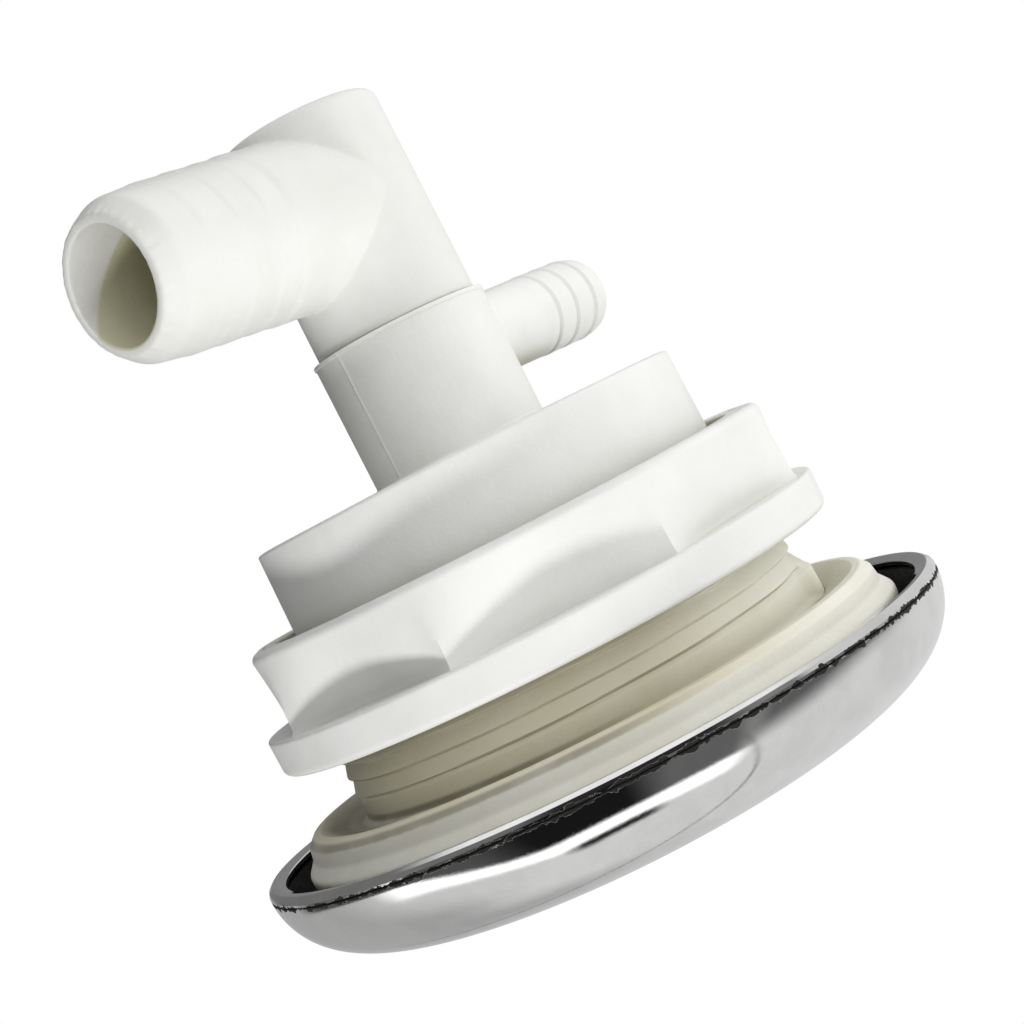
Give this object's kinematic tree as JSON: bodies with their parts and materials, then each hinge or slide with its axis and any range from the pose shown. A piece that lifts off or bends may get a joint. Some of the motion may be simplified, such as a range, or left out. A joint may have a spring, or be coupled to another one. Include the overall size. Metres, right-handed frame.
{
  "type": "through-hull jet fitting",
  "caption": "Flanged through-wall water and air jet fitting with a lock nut, an elbow hose barb, an air hose barb, a domed metal escutcheon and an aimable outlet ball.",
  "frame": {"origin": "on the jet's axis, in the plane that the escutcheon's crest rests on when the fitting stands face down; the flange face that bears on the hull is 17.0 mm above it", "axes": "+Z along the jet's axis from the wet side to the hose side; the water hose barb points along -X and the air hose barb along +X; the outlet faces -Z"},
  "size_m": [0.0958, 0.0958, 0.0997],
  "materials": {
    "ivory_plastic": "satin moulded, warm ivory",
    "white_plastic": "satin moulded, white",
    "grey_plastic": "matt moulded, light grey",
    "black_plastic": "matt moulded, black",
    "acetal": "smooth natural acetal",
    "seal_rubber": "matt black",
    "stainless": "polished bright",
    "spring_steel": "plain rolled"
  },
  "bodies": {
    "wall_body": {"wall_fitting": "ivory_plastic", "jet_body": "white_plastic", "water_elbow": "white_plastic", "venturi_nozzle": "grey_plastic", "nozzle_o_ring": "seal_rubber", "mixing_tube": "grey_plastic", "flow_plate": "grey_plastic", "snap_ring": "spring_steel"},
    "nut_carrier": {"nut_washer": "acetal"},
    "nut": {"lock_nut": "white_plastic"},
    "face": {"barrel": "grey_plastic", "barrel_head_o_ring": "seal_rubber", "barrel_top_o_ring": "seal_rubber", "wave_spring": "spring_steel", "ball_retainer": "grey_plastic", "escutcheon_carrier": "black_plastic", "escutcheon_cover": "stainless"},
    "ball_seat": {"ball_seat_ring": "acetal"},
    "ball": {"nozzle_ball": "white_plastic", "nozzle_trim_ring": "stainless"}
  },
  "joints": [
    {"name": "nut_travel", "type": "slide", "parent": "wall_body", "child": "nut_carrier", "axis": [0, 0, 1], "range_m": [-0.00518, 0.00691]},
    {"name": "nut_turn", "type": "hinge", "parent": "nut_carrier", "child": "nut", "pos_m": [0, 0, 0.017], "axis": [0, 0, 1], "range_deg": [-810, 1080]},
    {"name": "face_turn", "type": "hinge", "parent": "wall_body", "child": "face", "pos_m": [0, 0, 0.017], "axis": [0, 0, 1], "range_deg": [0, 90]},
    {"name": "nozzle_spin", "type": "hinge", "parent": "face", "child": "ball_seat", "pos_m": [0, 0, 0.014], "axis": [0, 0, 1], "continuous": true},
    {"name": "nozzle_tilt", "type": "hinge", "parent": "ball_seat", "child": "ball", "pos_m": [0, 0, 0.014], "axis": [0, 1, 0], "range_deg": [-15, 15]}
  ],
  "couplings": [
    {"joint": "nut_travel", "follows": "nut_turn", "m_per_rad": 0.00036606}
  ]
}
